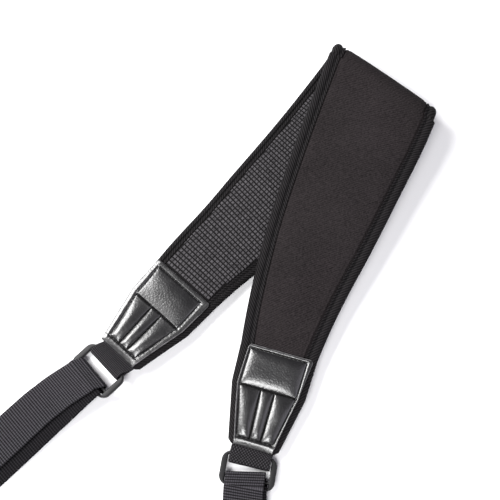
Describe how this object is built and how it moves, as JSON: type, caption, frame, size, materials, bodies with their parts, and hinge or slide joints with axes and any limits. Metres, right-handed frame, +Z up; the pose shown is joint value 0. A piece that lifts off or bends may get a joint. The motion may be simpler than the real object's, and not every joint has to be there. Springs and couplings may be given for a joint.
{
  "type": "tripod shoulder strap",
  "caption": "Padded shoulder strap folded in half, with leather-covered ends, webbing tabs, slide buckles and long webbings that end in plain clasps.",
  "frame": {"origin": "centre of the strap's bounding box in plan, on the surface that it lies on", "axes": "+Z up from the surface; +Y from the ends towards the fold; +X to the right as the strap is seen from its ends"},
  "size_m": [0.3338, 0.4278, 0.024],
  "materials": {
    "smooth_cloth": "matt black knitted face of the neoprene",
    "grip_cloth": "matt black grip cloth with rows of small raised dashes",
    "edge_tape": "black woven edge tape, stitched",
    "black_leather": "glossy black pebble-grain leather, stitched and puffed",
    "webbing": "charcoal ribbed polyester webbing",
    "satin_plastic": "satin charcoal moulded plastic"
  },
  "bodies": {
    "root": {"clasp_left": "satin_plastic", "clasp_right": "satin_plastic", "edge_binding_left": "edge_tape", "edge_binding_right": "edge_tape", "grip_lining": "grip_cloth", "leather_patch_inner_left": "black_leather", "leather_patch_inner_right": "black_leather", "leather_patch_outer_left": "black_leather", "leather_patch_outer_right": "black_leather", "long_webbing_left": "webbing", "long_webbing_right": "webbing", "neoprene_pad": "smooth_cloth", "slide_buckle_left": "satin_plastic", "slide_buckle_right": "satin_plastic", "webbing_tab_left": "webbing", "webbing_tab_right": "webbing"}
  },
  "joints": []
}
